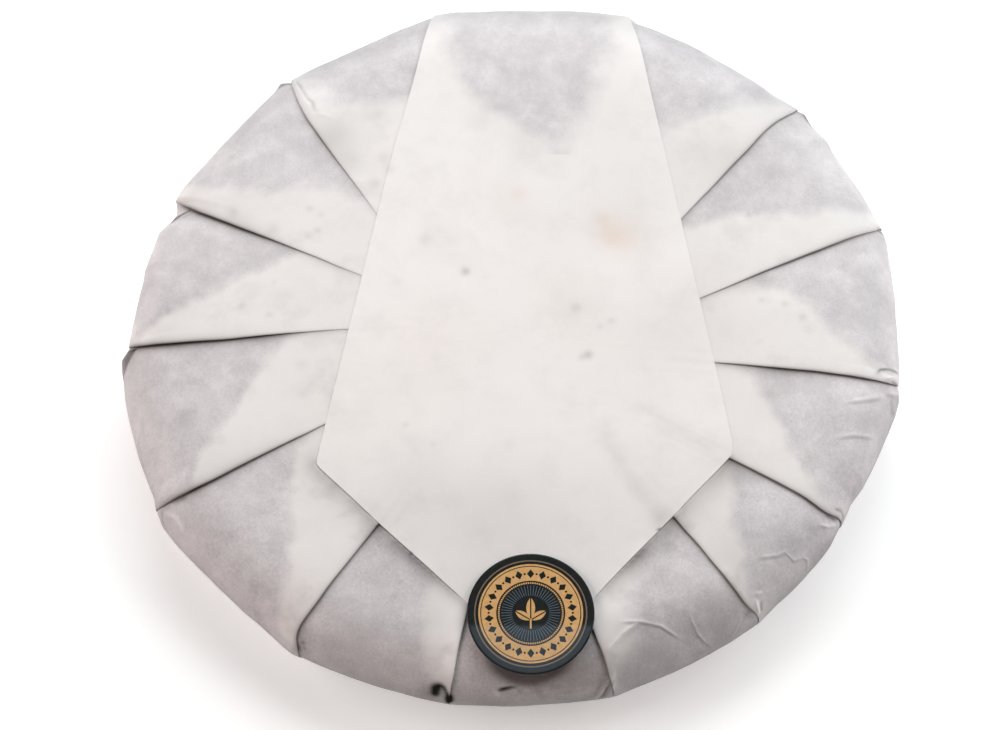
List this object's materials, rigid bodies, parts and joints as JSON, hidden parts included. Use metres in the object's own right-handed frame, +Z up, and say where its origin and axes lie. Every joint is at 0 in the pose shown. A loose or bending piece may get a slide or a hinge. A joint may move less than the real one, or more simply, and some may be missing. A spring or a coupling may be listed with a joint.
{
  "type": "wrapped tea cake",
  "caption": "Round pressed tea cake in a shut white paper wrapper, its back gathered in lapped pleats under a folded flap that a small dark and gold sticker seals.",
  "frame": {"origin": "middle of the flat underside that the cake rests on", "axes": "+Z up, through the cake's thickness to the pleated side; -Y towards the flap's tip and the sticker; +X to the right when the flap's tip points at the viewer"},
  "size_m": [0.2011, 0.198, 0.0261],
  "materials": {
    "paper": "matt cotton paper, translucent where it is one layer thick",
    "print": "glossy dark sticker with a matt gold band"
  },
  "bodies": {
    "root": {"wrapped_cake": "paper", "seal": "print"}
  },
  "joints": []
}
